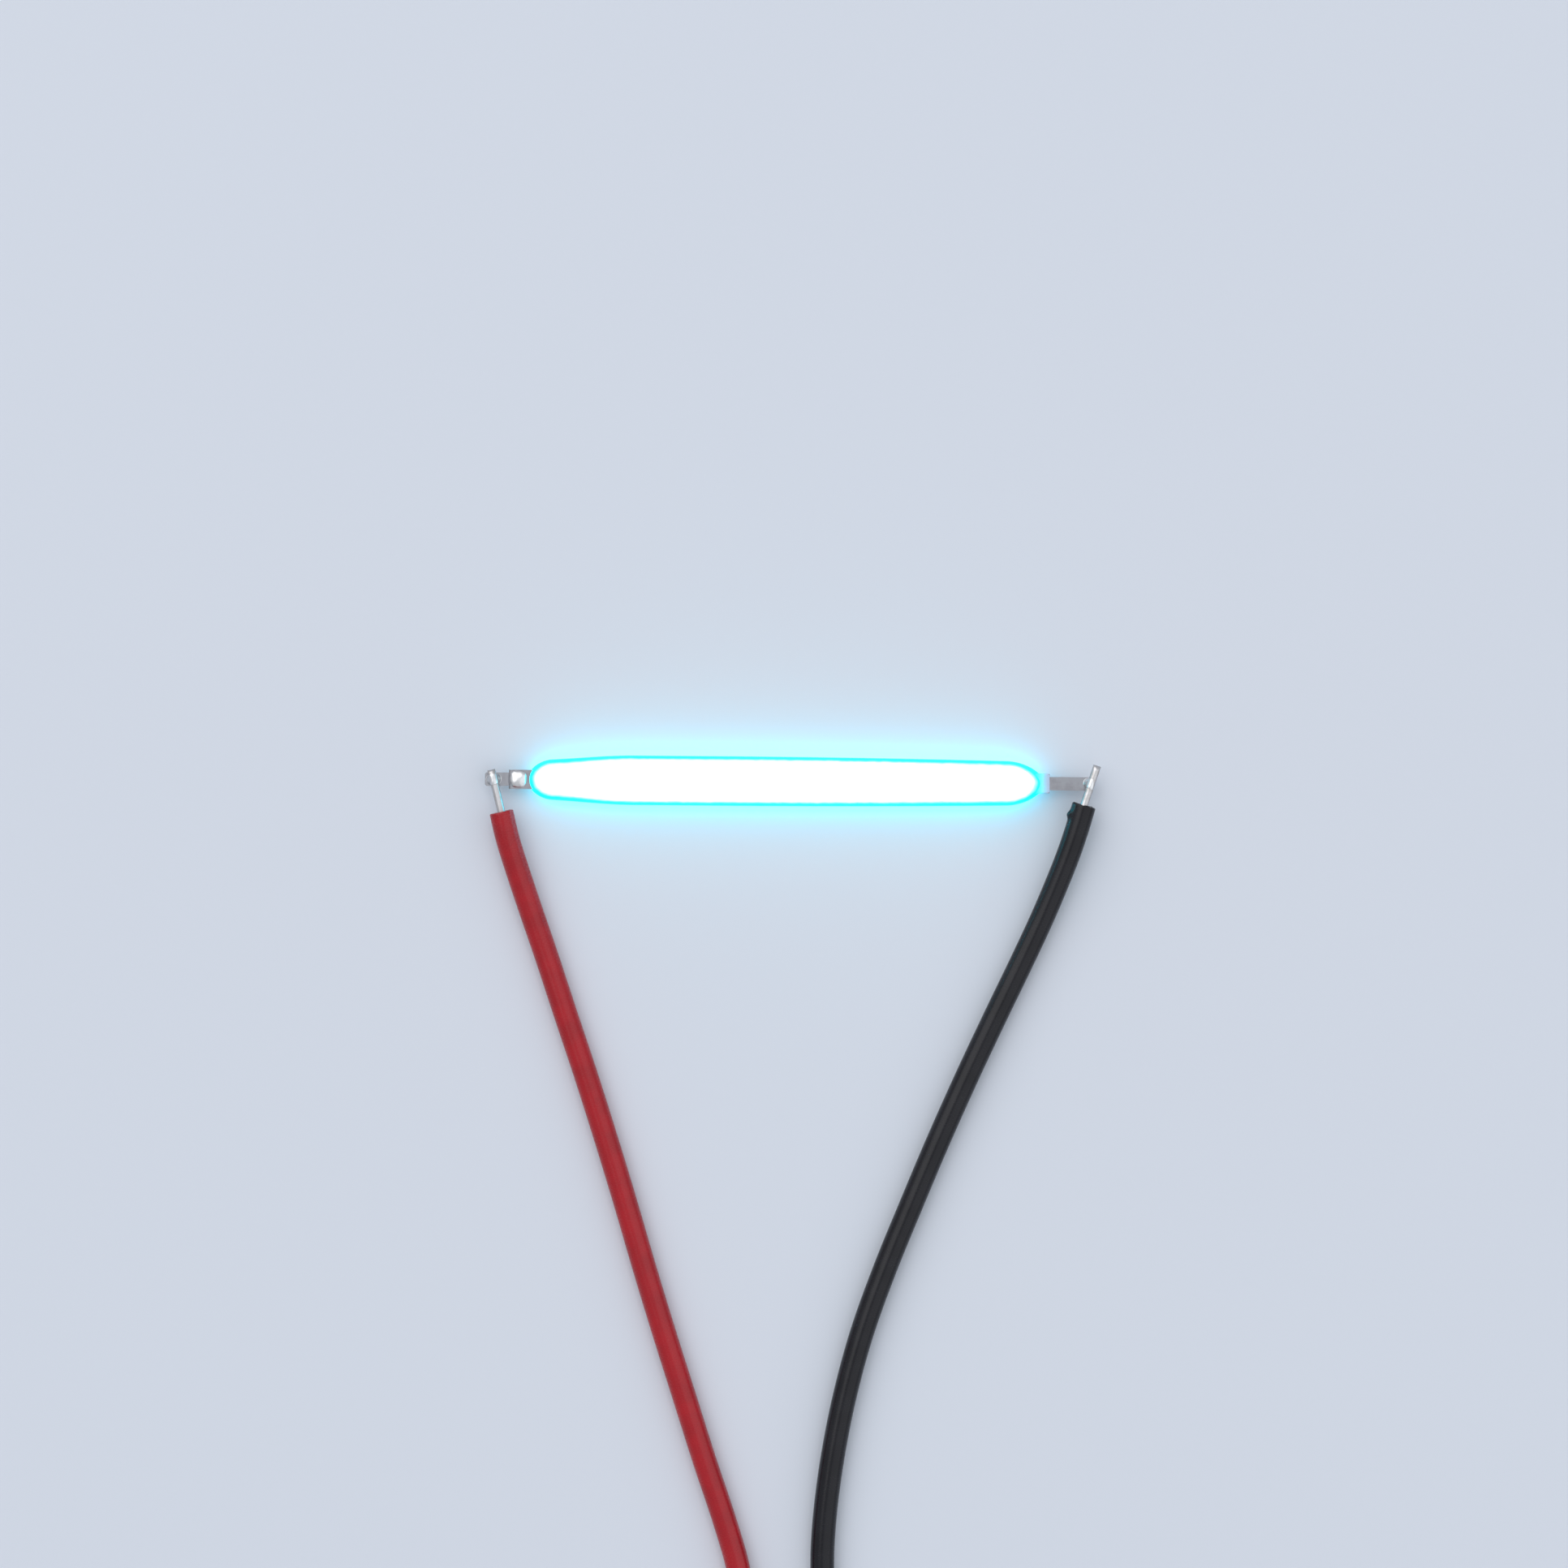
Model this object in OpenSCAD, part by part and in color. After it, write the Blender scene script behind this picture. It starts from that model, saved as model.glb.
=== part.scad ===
// LED filament with its two soldered leads, lying flat on a surface.
// A row of blue dies sits on a ceramic strip, each die wired to a printed rail on either side of it.
// A stamped tab clips each end of the strip, and a silicone coat encloses everything but the tabs' pins.
// X runs along the filament from the positive end to the negative end, Z is up, and z = 0 is the surface.

/* [Overall] */
// Length from the end of one pin to the end of the other
overall_l = 38; // [37.6:0.1:44]

/* [Ceramic strip] */
// Length of the strip
strip_l = 29.8; // [28.8:0.1:30.4]
// Width of the strip
strip_w = 1.2; // [1.1:0.05:1.4]
// Thickness of the strip
strip_t = 0.4; // [0.3:0.05:0.5]

/* [Printed rails] */
// Width of each silver rail
rail_w = 0.22; // [0.14:0.02:0.3]
// Thickness of the silver print
rail_t = 0.02; // [0.02:0.01:0.04]
// Bare ceramic left between a rail and the tab of the other polarity
rail_gap = 0.4; // [0.25:0.05:0.8]

/* [LED dies] */
// Number of dies in the row
die_count = 20; // [10:1:20]
// Distance from one die to the next
die_pitch = 1.35; // [1.1:0.01:1.38]
// Length of a die, along the strip
die_l = 0.6; // [0.45:0.05:0.75]
// Width of a die, across the strip
die_w = 0.3; // [0.2:0.02:0.4]
// Thickness of a die
die_t = 0.12; // [0.08:0.01:0.2]
// Diameter of a die's contact pad
pad_d = 0.12; // [0.1:0.01:0.15]
// Thickness of a contact pad
pad_t = 0.01; // [0.01:0.005:0.02]
// Bare border between a contact pad and the end of the die
pad_border = 0.06; // [0.04:0.01:0.1]
// Thickness of the adhesive under a die
attach_t = 0.02; // [0.02:0.005:0.04]
// Width of the adhesive that shows round a die
attach_rim = 0.03; // [0.02:0.005:0.06]

/* [Bond wires] */
// Diameter of the gold wire
bond_d = 0.04; // [0.03:0.005:0.06]
// Diameter of the ball that starts a wire on its pad
ball_d = 0.09; // [0.08:0.005:0.1]
// Height of that ball
ball_h = 0.03; // [0.02:0.005:0.05]
// Diameter of the foot that ends a wire on its rail
foot_d = 0.11; // [0.08:0.01:0.13]
// Height of that foot
foot_h = 0.03; // [0.02:0.005:0.05]

/* [End tabs] */
// Thickness of the stamped sheet
tab_t = 0.2; // [0.15:0.01:0.3]
// Width of a tab's base
base_w = 1.2; // [1.1:0.05:1.4]
// Width of a tab's pin
pin_w = 0.84; // [0.8:0.02:1]
// Corner radius at the end of a pin
pin_corner_r = 0.14; // [0.05:0.01:0.3]
// Length of the positive tab's base, out from the end of the strip
positive_base_l = 2.6; // [1.6:0.1:2.9]
// Length of the negative tab's base, out from the end of the strip
negative_base_l = 1.4; // [1:0.1:2.4]
// Width of each of the three prongs that grip the strip
prong_w = 0.34; // [0.26:0.02:0.36]
// Length of strip that the prongs overlap
prong_l = 1.2; // [0.6:0.1:1.3]
// Run of the bend that carries a prong from the base to the strip's face
prong_bend_l = 0.45; // [0.3:0.05:0.7]
// Width of the crease across the positive tab, where its pin begins
crease_w = 0.16; // [0.1:0.02:0.24]
// Depth of that crease
crease_depth = 0.05; // [0.03:0.01:0.08]

/* [Silicone coat] */
// Greatest width of the coat
coat_w = 3.1; // [2.9:0.1:3.4]
// Greatest height of the coat
coat_h = 2; // [1.9:0.1:2.4]
// Reach of the coat from the middle, towards the positive end
coat_positive_l = 16.2; // [15.9:0.1:16.4]
// Reach of the coat from the middle, towards the negative end
coat_negative_l = 15.8; // [15.8:0.1:16.2]
// Width of the coat where it starts to round off, at the positive end
positive_shoulder_w = 2.45; // [2.2:0.05:2.7]
// Width of the coat where it starts to round off, at the negative end
negative_shoulder_w = 2.7; // [2.6:0.1:2.8]
// Length of the swell from the positive shoulder to the full width
positive_swell_l = 6.5; // [3:0.5:9]
// Length of the swell from the negative shoulder to the full width
negative_swell_l = 20; // [10:0.5:21]
// Length of the round nose at the positive end
positive_nose_l = 1.4; // [1:0.1:2]
// Length of the longer nose at the negative end
negative_nose_l = 2.2; // [1.6:0.1:2.6]
// Width of the blunt tip of each nose
tip_w = 0.8; // [0.7:0.05:1]
// Fullness of the positive nose, where 1 is a parabola and less is blunter
positive_fullness = 0.7; // [0.6:0.05:0.9]
// Fullness of the negative nose
negative_fullness = 0.75; // [0.65:0.05:0.8]
// Gap between the coat and the bond wires
bond_gap = 0.01; // [0.005:0.005:0.02]

/* [Leads] */
// Outer diameter of the insulation
wire_d = 1.5; // [1.2:0.1:1.5]
// Diameter of the tinned core
core_d = 0.5; // [0.4:0.02:0.6]
// Distance from the end of the positive pin to the middle of the red core that crosses it
red_inset = 0.55; // [0.42:0.01:0.7]
// Distance from the end of the negative pin to the middle of the black core
black_inset = 0.12; // [0.1:0.01:0.7]
// Angle by which the red core leans inwards
red_lean = 14; // [10:1:20]
// Angle by which the black core leans inwards
black_lean = 18; // [10:1:20]
// Bare core from the positive tab's centre line to the red insulation
red_bare_l = 2.1; // [1.5:0.1:2.6]
// Bare core from the negative tab's centre line to the black insulation
black_bare_l = 1.4; // [1.3:0.1:2.6]
// Snipped end of the red core past the tab's centre line
red_snip_l = 0.6; // [0.5:0.1:1.6]
// Snipped end of the black core past the tab's centre line
black_snip_l = 1.2; // [0.5:0.1:1.6]
// Length of core stripped at each free end
stripped_l = 5; // [3:0.5:5]

/* [Solder] */
// Radius of each solder dome, over the middle of the pin
dome_r = 0.4; // [0.36:0.01:0.42]
// Thickness of solder between the tab and the core
film_t = 0.03; // [0.02:0.01:0.06]
// Length of the pool of solder that has run onto the positive tab's base
pool_l = 1; // [0.8:0.05:1.1]
// Width of the pool
pool_w = 1.04; // [0.8:0.04:1.08]
// Height of the pool over its middle
pool_h = 0.2; // [0.14:0.02:0.26]
// Corner radius of the pool
pool_corner_r = 0.32; // [0.2:0.02:0.38]

/* [Coils] */
// Radius of the coil in each lead, at the middle of its turns
coil_r = 7.5; // [7:0.25:8]
// Turns that lie on each other in a coil
coil_layers = 2; // [2:1:3]

/* [Hidden] */
mid_z = coat_h / 2;
strip_top = mid_z + strip_t / 2;
tab_top = mid_z + tab_t / 2;
core_z = tab_top + film_t + core_d / 2;
prong_y = (base_w - prong_w) / 2;
rail_y = prong_y;
pad_x = die_l / 2 - pad_border - pad_d / 2;
die_top = strip_top + attach_t + die_t;
pin_end = overall_l / 2;
// A lead meets its coil this far from the middle, and leaves it on the far side
coil_entry_x = 5.6;
coil_x = coil_entry_x + coil_r;
coil_exit_x = coil_x + coil_r;
coil_y = -68;

$fn = 48;
// Sides of a lead's insulation
wire_sides = 8;
// Steps along each stretch of the coat's outline
nose_steps = 7;
swell_steps = 6;

// Each lead's centre line after its exit, on its way to the coil
RED_ROUTE = [
    [-17.6, -3.5, 1.30], [-17.15, -5.0, 1.15], [-16.15, -8.0, 0.85], [-15.1, -11.0, 0.75],
    [-13.85, -14.7, 0.75], [-12.55, -18.5, 0.75], [-11.25, -22.5, 0.75], [-10.0, -26.5, 0.75],
    [-8.8, -30.5, 0.75], [-7.55, -34.5, 0.75], [-6.25, -38.5, 0.75], [-4.95, -42.5, 0.75],
    [-3.65, -46.3, 0.75], [-2.75, -49.4, 0.75], [-2.45, -52.3, 0.75], [-2.8, -55.2, 0.75],
    [-3.8, -58.2, 0.75], [-4.85, -61.2, 0.75], [-5.4, -64.2, 0.75]
];
BLACK_ROUTE = [
    [18.0, -2.9, 1.30], [17.33, -4.9, 1.15], [16.1, -8.0, 0.85], [14.75, -11.0, 0.75],
    [13.0, -14.7, 0.75], [11.25, -18.5, 0.75], [9.5, -22.5, 0.75], [7.85, -26.5, 0.75],
    [6.25, -30.5, 0.75], [4.85, -34.5, 0.75], [3.8, -38.5, 0.75], [3.05, -42.5, 0.75],
    [2.6, -46.3, 0.75], [2.5, -49.4, 0.75], [2.75, -52.3, 0.75], [3.35, -55.2, 0.75],
    [4.25, -58.2, 0.75], [5.05, -61.2, 0.75], [5.5, -64.2, 0.75]
];
// Centre line of the red lead from its coil to its stripped end
RED_TAIL = [
    [-coil_exit_x, -65.0, 2.15], [-coil_exit_x, -64.0, 1.90], [-coil_exit_x, -63.0, 1.50],
    [-coil_exit_x, -62.0, 1.15], [-coil_exit_x, -60.9, 0.85], [-coil_exit_x, -59.5, 0.75]
];

function two_digits(i) = str(i < 10 ? "0" : "", i);
function die_name(i) = str("led_die_", two_digits(i));
function bond_name(i) = str("bond_wires_", two_digits(i));

// ---- The strip and its print ----

module ceramic_strip() {
    color("white")
        translate([-strip_l / 2, -strip_w / 2, mid_z - strip_t / 2])
            cube([strip_l, strip_w, strip_t]);
}

// The rail on the positive side: it starts under the positive tab and stops short of the negative one
module positive_rail() {
    far_end = strip_l / 2 - prong_l - rail_gap;
    color("silver")
        translate([-strip_l / 2, rail_y - rail_w / 2, strip_top])
            cube([strip_l / 2 + far_end, rail_w, rail_t]);
}

module negative_rail() {
    rotate(180) positive_rail();
}

// ---- The dies and their wires ----

function die_x(i) = (i - (die_count + 1) / 2) * die_pitch;

module die_attach() {
    attach_l = die_l + 2 * attach_rim;
    attach_w = die_w + 2 * attach_rim;
    color("lightyellow")
        for (i = [1:die_count])
            translate([die_x(i) - attach_l / 2, -attach_w / 2, strip_top])
                cube([attach_l, attach_w, attach_t]);
}

module led_die(i) {
    color("lightsteelblue")
        translate([die_x(i), 0, strip_top + attach_t]) {
            translate([-die_l / 2, -die_w / 2, 0])
                cube([die_l, die_w, die_t]);
            for (side = [-1, 1])
                translate([side * pad_x, 0, die_t])
                    cylinder(d = pad_d, h = pad_t);
        }
}

// One wire in the YZ plane, from a pad at y = 0 to the rail at y = rail_y.
// It leaves the ball straight up and comes down in one arc. Grown by gap, it makes the coat's cavity.
module bond_wire(gap = 0) {
    sink = ball_h / 3;
    start_z = die_top + pad_t + ball_h - sink;
    end_z = strip_top + rail_t + foot_h / 2;
    drop = start_z - end_z;
    loop_r = (rail_y * rail_y + drop * drop) / (2 * rail_y);
    dip = asin(drop / loop_r);
    translate([0, loop_r, start_z])
        rotate([90, 0, 90])
            rotate(-dip)
                rotate_extrude(angle = 180 + dip)
                    translate([loop_r, 0])
                        circle(d = bond_d + 2 * gap);
    translate([0, 0, die_top + pad_t])
        cylinder(d = ball_d + 2 * gap, h = ball_h + gap);
    translate([0, rail_y, strip_top + rail_t])
        cylinder(d = foot_d + 2 * gap, h = foot_h + gap);
}

// A die's two wires: one pad to the positive rail, the other to the negative rail
module bond_wires(i, gap = 0) {
    color("gold") {
        translate([die_x(i) - pad_x, 0, 0])
            bond_wire(gap);
        translate([die_x(i) + pad_x, 0, 0])
            mirror([0, 1, 0])
                bond_wire(gap);
    }
}

// ---- The end tabs, drawn for the end at +X and turned round for the other ----

// Side view of a prong, from the base's mid-plane to a face of the strip at height lift
module prong_profile(lift) {
    base_start = prong_bend_l;
    polygon([
        [base_start, -tab_t / 2], [base_start, tab_t / 2],
        [tab_t / 4, lift + tab_t], [-prong_l, lift + tab_t],
        [-prong_l, lift], [0, lift]
    ]);
}

module prong(y, lift) {
    translate([0, y + prong_w / 2, 0])
        rotate([90, 0, 0])
            linear_extrude(prong_w)
                prong_profile(lift);
}

module pin_outline(from, to) {
    translate([from, -pin_w / 2])
        square([to - from - pin_corner_r, pin_w]);
    translate([from, pin_corner_r - pin_w / 2])
        square([to - from, pin_w - 2 * pin_corner_r]);
    for (side = [-1, 1])
        translate([to - pin_corner_r, side * (pin_w / 2 - pin_corner_r)])
            circle(r = pin_corner_r);
}

module tab(base_l) {
    reach = pin_end - strip_l / 2;
    translate([strip_l / 2, 0, mid_z]) {
        translate([prong_bend_l, -base_w / 2, -tab_t / 2])
            cube([base_l - prong_bend_l, base_w, tab_t]);
        translate([0, 0, -tab_t / 2])
            linear_extrude(tab_t)
                pin_outline(base_l - tab_t, reach);
        for (side = [-1, 1])
            prong(side * prong_y, strip_t / 2 + rail_t);
        mirror([0, 0, 1])
            prong(0, strip_t / 2);
    }
}

module positive_tab() {
    color("silver")
        rotate(180)
            difference() {
                tab(positive_base_l);
                translate([strip_l / 2 + positive_base_l, 0, tab_top])
                    rotate([90, 0, 0])
                        linear_extrude(base_w * 2, center = true)
                            polygon([
                                [-crease_w / 2, crease_depth], [-crease_w / 2, 0], [0, -crease_depth],
                                [crease_w / 2, 0], [crease_w / 2, crease_depth]
                            ]);
            }
}

module negative_tab() {
    color("silver") tab(negative_base_l);
}

// ---- The silicone coat, a bead on the front of the strip and a bead on its back ----

function eased(u) = u * u * (3 - 2 * u);
// Width at a distance from the positive end's tip, before the nose is rounded off
function positive_width(s) =
    positive_shoulder_w + (coat_w - positive_shoulder_w) * eased(min(s / positive_swell_l, 1));
// The same from the negative end's tip, where the swell is longer and quicker at first
function negative_width(s) =
    negative_shoulder_w + (coat_w - negative_shoulder_w) * (1 - pow(1 - min(s / negative_swell_l, 1), 2));
// How far a nose has risen from tip_w to its full width
function nose_rise(u, fullness) = pow(1 - pow(1 - min(u, 1), 2), fullness);

// Each bead is turned about an axis that lies this far behind the plane where the two meet
bead_axis_drop = (coat_w * coat_w - coat_h * coat_h) / (4 * coat_h);
// A point of the bead's outline, [radius, place along X], from the coat's width there
function outline_point(x, width) = [norm([width / 2, bead_axis_drop]), x];
function positive_point(s) = outline_point(
    s - coat_positive_l,
    tip_w + (positive_width(s) - tip_w) * nose_rise(s / positive_nose_l, positive_fullness)
);
function negative_point(s) = outline_point(
    coat_negative_l - s,
    tip_w + (negative_width(s) - tip_w) * nose_rise(s / negative_nose_l, negative_fullness)
);

function bead_outline() = concat(
    [for (k = [0:nose_steps]) positive_point(positive_nose_l * pow(k / nose_steps, 2))],
    [for (k = [1:swell_steps])
        positive_point(positive_nose_l + (positive_swell_l - positive_nose_l) * k / swell_steps)],
    [for (k = [swell_steps:-1:1])
        negative_point(negative_nose_l + (negative_swell_l - negative_nose_l) * k / swell_steps)],
    [for (k = [nose_steps:-1:0]) negative_point(negative_nose_l * k / nose_steps)]
);

// The solid form of the front bead, above z = 0
module bead_form() {
    intersection() {
        translate([0, 0, -bead_axis_drop])
            rotate([0, 90, 0])
                rotate_extrude()
                    polygon(concat([[0, -coat_positive_l]], bead_outline(), [[0, coat_negative_l]]));
        translate([-pin_end, -coat_w, 0])
            cube([overall_l, 2 * coat_w, coat_h]);
    }
}

module front_coat() {
    color("deepskyblue", 0.6)
        difference() {
            translate([0, 0, mid_z]) bead_form();
            ceramic_strip();
            positive_rail();
            negative_rail();
            positive_tab();
            negative_tab();
            solder_pool();
            die_attach();
            for (i = [1:die_count]) {
                led_die(i);
                bond_wires(i, bond_gap);
            }
        }
}

module back_coat() {
    color("deepskyblue", 0.6)
        difference() {
            translate([0, 0, mid_z]) mirror([0, 0, 1]) bead_form();
            ceramic_strip();
            positive_tab();
            negative_tab();
        }
}

// ---- The leads ----

// Distance from the end of a pin to its core, end = -1 for the positive pin and 1 for the negative one
function inset(end) = end < 0 ? red_inset : black_inset;
function core_x(end) = end * (pin_end - inset(end));
function lean(end) = end < 0 ? red_lean : black_lean;

// Places children on a tab's centre line, with -Y along the lead as it leaves
module at_joint(end) {
    translate([core_x(end), 0, core_z])
        rotate(-end * lean(end))
            children();
}

module core(end, bare_l, snip_l) {
    at_joint(end)
        translate([0, snip_l, 0])
            rotate([90, 0, 0])
                cylinder(d = core_d, h = snip_l + bare_l);
}

// A dome of solder on the pin, no further out than the pin's end, with the core bedded in it
module solder(end, bare_l, snip_l) {
    outward = min(inset(end), dome_r);
    color("lightgray")
        difference() {
            translate([core_x(end), 0, tab_top])
                intersection() {
                    sphere(r = dome_r);
                    translate([end < 0 ? -outward : -dome_r, -dome_r, 0])
                        cube([dome_r + outward, 2 * dome_r, dome_r]);
                }
            core(end, bare_l, snip_l);
        }
}

module positive_solder() {
    solder(-1, red_bare_l, red_snip_l);
}

module negative_solder() {
    solder(1, black_bare_l, black_snip_l);
}

module pool_outline() {
    for (side_x = [-1, 1], side_y = [-1, 1])
        translate([side_x * (pool_l / 2 - pool_corner_r), side_y * (pool_w / 2 - pool_corner_r)])
            circle(r = pool_corner_r);
    square([pool_l - 2 * pool_corner_r, pool_w], center = true);
    square([pool_l, pool_w - 2 * pool_corner_r], center = true);
}

// A low crowned pool on the positive tab's base, with its edge at the crease
module solder_pool() {
    rise = pool_h - film_t;
    corner_reach = norm([pool_l / 2 - pool_corner_r, pool_w / 2 - pool_corner_r]) + pool_corner_r;
    crown_r = (corner_reach * corner_reach + rise * rise) / (2 * rise);
    color("lightgray")
        translate([(crease_w + pool_l - strip_l) / 2 - positive_base_l, 0, tab_top])
            intersection() {
                linear_extrude(pool_h) pool_outline();
                translate([0, 0, pool_h - crown_r]) sphere(r = crown_r);
            }
}

module red_core() {
    color("silver") core(-1, red_bare_l, red_snip_l);
}

module black_core() {
    color("silver") core(1, black_bare_l, black_snip_l);
}

// The point where a lead's insulation starts
function exit_point(end, bare_l) = [
    core_x(end) - end * bare_l * sin(lean(end)),
    -bare_l * cos(lean(end)),
    core_z
];

function unit(v) = v / norm(v);
function heading(path, i) = unit(path[i + 1] - path[i - 1]);

// A round bar swept along a path that is never upright, with its two ends cut square to the headings given
module swept_wire(path, start_heading, end_heading) {
    last_i = len(path) - 1;
    rings = [for (i = [0:last_i])
        let (
            along = i == 0 ? start_heading : i == last_i ? end_heading : heading(path, i),
            side = unit(cross(along, [0, 0, 1])),
            up = cross(side, along)
        )
        for (k = [0:wire_sides - 1])
            let (a = 360 * k / wire_sides)
            path[i] + (side * cos(a) + up * sin(a)) * wire_d / 2
    ];
    last = last_i * wire_sides;
    polyhedron(
        points = rings,
        faces = concat(
            [[for (k = [0:wire_sides - 1]) k]],
            [[for (k = [wire_sides - 1:-1:0]) last + k]],
            [for (i = [0:len(path) - 2], k = [0:wire_sides - 1])
                let (
                    here = i * wire_sides,
                    next = (k + 1) % wire_sides
                )
                [here + k, here + wire_sides + k, here + wire_sides + next, here + next]
            ]
        )
    );
}

function mirrored(path) = [for (p = path) [-p[0], p[1], p[2]]];

module lead(end, bare_l, route, tail) {
    out_of_joint = [-end * sin(lean(end)), -cos(lean(end)), 0];
    difference() {
        union() {
            swept_wire(concat([exit_point(end, bare_l)], route), out_of_joint, [0, -1, 0]);
            swept_wire(tail, [0, 1, 0], [0, 1, 0]);
        }
        coil(end);
    }
}

module red_wire() {
    color("firebrick") lead(-1, red_bare_l, RED_ROUTE, RED_TAIL);
}

module black_wire() {
    color("dimgray") lead(1, black_bare_l, BLACK_ROUTE, mirrored(RED_TAIL));
}

// The outer shape of the stored turns
module coil(end) {
    translate([end * coil_x, coil_y, 0])
        rotate_extrude()
            translate([coil_r, 0]) {
                for (layer = [0, coil_layers - 1])
                    translate([0, (layer + 0.5) * wire_d])
                        circle(d = wire_d);
                translate([-wire_d / 2, wire_d / 2])
                    square([wire_d, (coil_layers - 1) * wire_d]);
            }
}

module red_coil() {
    color("firebrick") coil(-1);
}

module black_coil() {
    color("dimgray") coil(1);
}

// The stripped, tinned end of a lead
module stripped_end(tail) {
    translate(tail[len(tail) - 1])
        rotate([-90, 0, 0])
            cylinder(d = core_d, h = stripped_l);
}

module red_tip() {
    color("silver") stripped_end(RED_TAIL);
}

module black_tip() {
    color("silver") stripped_end(mirrored(RED_TAIL));
}

ceramic_strip();
positive_rail();
negative_rail();
positive_tab();
negative_tab();
die_attach();
for (i = [1:die_count]) {
    led_die(i);
    bond_wires(i);
}
front_coat();
back_coat();
positive_solder();
negative_solder();
solder_pool();
red_core();
red_wire();
red_coil();
red_tip();
black_core();
black_wire();
black_coil();
black_tip();
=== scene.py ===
"""Dresses an LED filament and its two leads, lit and lying on a pale table.

Lengths are metres in the frame's own axes: X runs along the filament from its positive end, Z is up, and
z = 0 is the table. The leads are made first, then the silicone beads, the solder joints and the finishes.
"""

import logging
import math
from dataclasses import dataclass
from enum import Enum
from functools import cached_property
from typing import Callable, Sequence, Union

import bpy
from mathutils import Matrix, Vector, noise


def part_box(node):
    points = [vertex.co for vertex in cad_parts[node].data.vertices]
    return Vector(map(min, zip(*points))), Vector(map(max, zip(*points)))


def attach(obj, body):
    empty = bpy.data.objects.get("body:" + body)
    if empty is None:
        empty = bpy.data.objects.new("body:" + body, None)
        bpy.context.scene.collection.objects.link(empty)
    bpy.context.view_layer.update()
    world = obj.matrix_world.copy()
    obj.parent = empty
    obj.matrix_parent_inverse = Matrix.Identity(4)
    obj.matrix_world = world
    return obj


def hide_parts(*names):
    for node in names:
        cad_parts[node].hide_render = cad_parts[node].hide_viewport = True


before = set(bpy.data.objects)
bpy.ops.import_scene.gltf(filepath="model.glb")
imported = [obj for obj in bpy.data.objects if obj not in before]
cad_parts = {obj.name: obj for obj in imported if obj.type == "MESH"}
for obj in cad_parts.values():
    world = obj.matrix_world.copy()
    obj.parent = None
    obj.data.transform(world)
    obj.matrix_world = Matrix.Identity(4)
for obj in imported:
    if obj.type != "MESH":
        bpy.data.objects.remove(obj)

LOG = logging.getLogger("filament")
MM = 0.001
ROOT = "root"

Point = tuple[float, float, float]
Colour = tuple[float, float, float]
Input = Union["Value", float, tuple[float, ...]]


# ---- Shader expressions ----


class Value:
    """An output socket that Python expressions can work with."""

    def __init__(self, shader: "Shader", socket: bpy.types.NodeSocket) -> None:
        """Keeps the shader that owns the socket, so that operators can add nodes to it."""
        self.shader = shader
        self.socket = socket

    def _math(self, operation: str, *terms: Input) -> "Value":
        """Adds one Math node for the terms."""
        return self.shader.node("ShaderNodeMath", {"operation": operation}, dict(enumerate(terms)))

    def __add__(self, other: Input) -> "Value":
        """This value plus another."""
        return self._math("ADD", self, other)

    def __sub__(self, other: Input) -> "Value":
        """This value minus another."""
        return self._math("SUBTRACT", self, other)

    def __mul__(self, other: Input) -> "Value":
        """This value times another."""
        return self._math("MULTIPLY", self, other)

    def __abs__(self) -> "Value":
        """This value without its sign."""
        return self._math("ABSOLUTE", self)


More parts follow.
